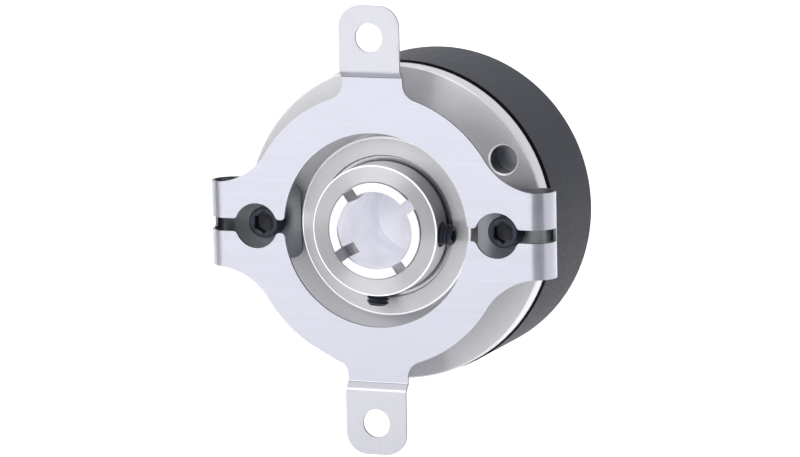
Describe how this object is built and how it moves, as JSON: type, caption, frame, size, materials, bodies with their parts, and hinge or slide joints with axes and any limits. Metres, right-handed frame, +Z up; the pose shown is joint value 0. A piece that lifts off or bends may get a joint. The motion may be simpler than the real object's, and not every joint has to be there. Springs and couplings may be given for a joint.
{
  "type": "hollow-shaft rotary encoder",
  "caption": "Round hollow-shaft rotary encoder with slotted collet, clamp ring, folded spring stator coupling with mounting ears, turned flange, dark cover and rear connector.",
  "frame": {"origin": "on the shaft axis, in the plane where the two ears of the stator coupling meet the machine", "axes": "+Y along the shaft axis towards the rear connector, so the open end of the shaft faces -Y; +Z up through the upper ear; +X to the right seen from the front"},
  "size_m": [0.0662, 0.0515, 0.082],
  "materials": {
    "coupling_steel": "horizontally brushed spring steel",
    "flange_aluminium": "satin turned",
    "ring_steel": "turned stainless steel",
    "shaft_steel": "turned stainless steel",
    "black_steel": "black oxide",
    "bearing_steel": "ground",
    "shield_steel": "stamped",
    "cage_plastic": "moulded",
    "spring_steel": "plain",
    "cover_paint": "fine powder coat",
    "seal_rubber": "matt",
    "disc_glass": "clear with a fine metal track",
    "hub_aluminium": "turned",
    "head_plastic": "moulded",
    "board_laminate": "solder mask",
    "chip_plastic": "moulded",
    "capacitor_body": "moulded",
    "post_brass": "nickel-free",
    "zinc_steel": "zinc plated",
    "plug_metal": "nickel plated",
    "plug_plastic": "moulded",
    "pin_gold": "gold plated"
  },
  "bodies": {
    "coupling": {"stator_coupling": "coupling_steel"},
    "housing": {"front_flange": "flange_aluminium", "coupling_screws": "black_steel", "coupling_washers": "black_steel", "front_outer_race": "bearing_steel", "front_shields": "shield_steel", "rear_outer_race": "bearing_steel", "rear_shields": "shield_steel", "preload_washer": "spring_steel", "light_source": "head_plastic", "light_leads": "pin_gold", "scanning_mask": "disc_glass", "sensor_chip": "chip_plastic", "circuit_board": "board_laminate", "processor_chip": "chip_plastic", "line_driver": "chip_plastic", "capacitors": "capacitor_body", "lower_posts": "post_brass", "upper_posts": "post_brass", "cover_seal": "seal_rubber", "rear_cover": "cover_paint", "cover_screws": "zinc_steel", "plug_shell": "plug_metal", "plug_gasket": "seal_rubber", "plug_insert": "plug_plastic", "plug_pins": "pin_gold", "plug_nut": "plug_metal"},
    "rotor": {"hollow_shaft": "shaft_steel", "clamp_ring": "ring_steel", "front_inner_race": "bearing_steel", "rear_inner_race": "bearing_steel", "shaft_circlip": "spring_steel", "disc_hub": "hub_aluminium", "code_disc": "disc_glass", "disc_clamp": "hub_aluminium"},
    "front_cage_set": {"front_cage": "cage_plastic", "front_balls": "bearing_steel"},
    "rear_cage_set": {"rear_cage": "cage_plastic", "rear_balls": "bearing_steel"},
    "side_screw": {"side_set_screw": "black_steel"},
    "bottom_screw": {"bottom_set_screw": "black_steel"}
  },
  "joints": [
    {"name": "axial_float", "type": "slide", "parent": "coupling", "child": "housing", "axis": [0, 1, 0], "range_m": [-0.0005, 0.0005], "stiffness_N_per_m": 5000, "deforming": ["stator_coupling"]},
    {"name": "shaft_spin", "type": "hinge", "parent": "housing", "child": "rotor", "pos_m": [0, 0, 0], "axis": [0, 1, 0], "continuous": true},
    {"name": "front_cage_spin", "type": "hinge", "parent": "housing", "child": "front_cage_set", "pos_m": [0, 0.0094, 0], "axis": [0, 1, 0], "continuous": true},
    {"name": "rear_cage_spin", "type": "hinge", "parent": "housing", "child": "rear_cage_set", "pos_m": [0, 0.0195, 0], "axis": [0, 1, 0], "continuous": true},
    {"name": "side_screw_travel", "type": "slide", "parent": "rotor", "child": "side_screw", "axis": [0.9986, 0, -0.0523], "range_m": [-0.00035, 0.002]},
    {"name": "bottom_screw_travel", "type": "slide", "parent": "rotor", "child": "bottom_screw", "axis": [-0.0523, 0, -0.9986], "range_m": [-0.00015, 0.002]}
  ],
  "couplings": [
    {"joint": "front_cage_spin", "follows": "shaft_spin", "ratio": 0.43628},
    {"joint": "rear_cage_spin", "follows": "shaft_spin", "ratio": 0.43628}
  ]
}
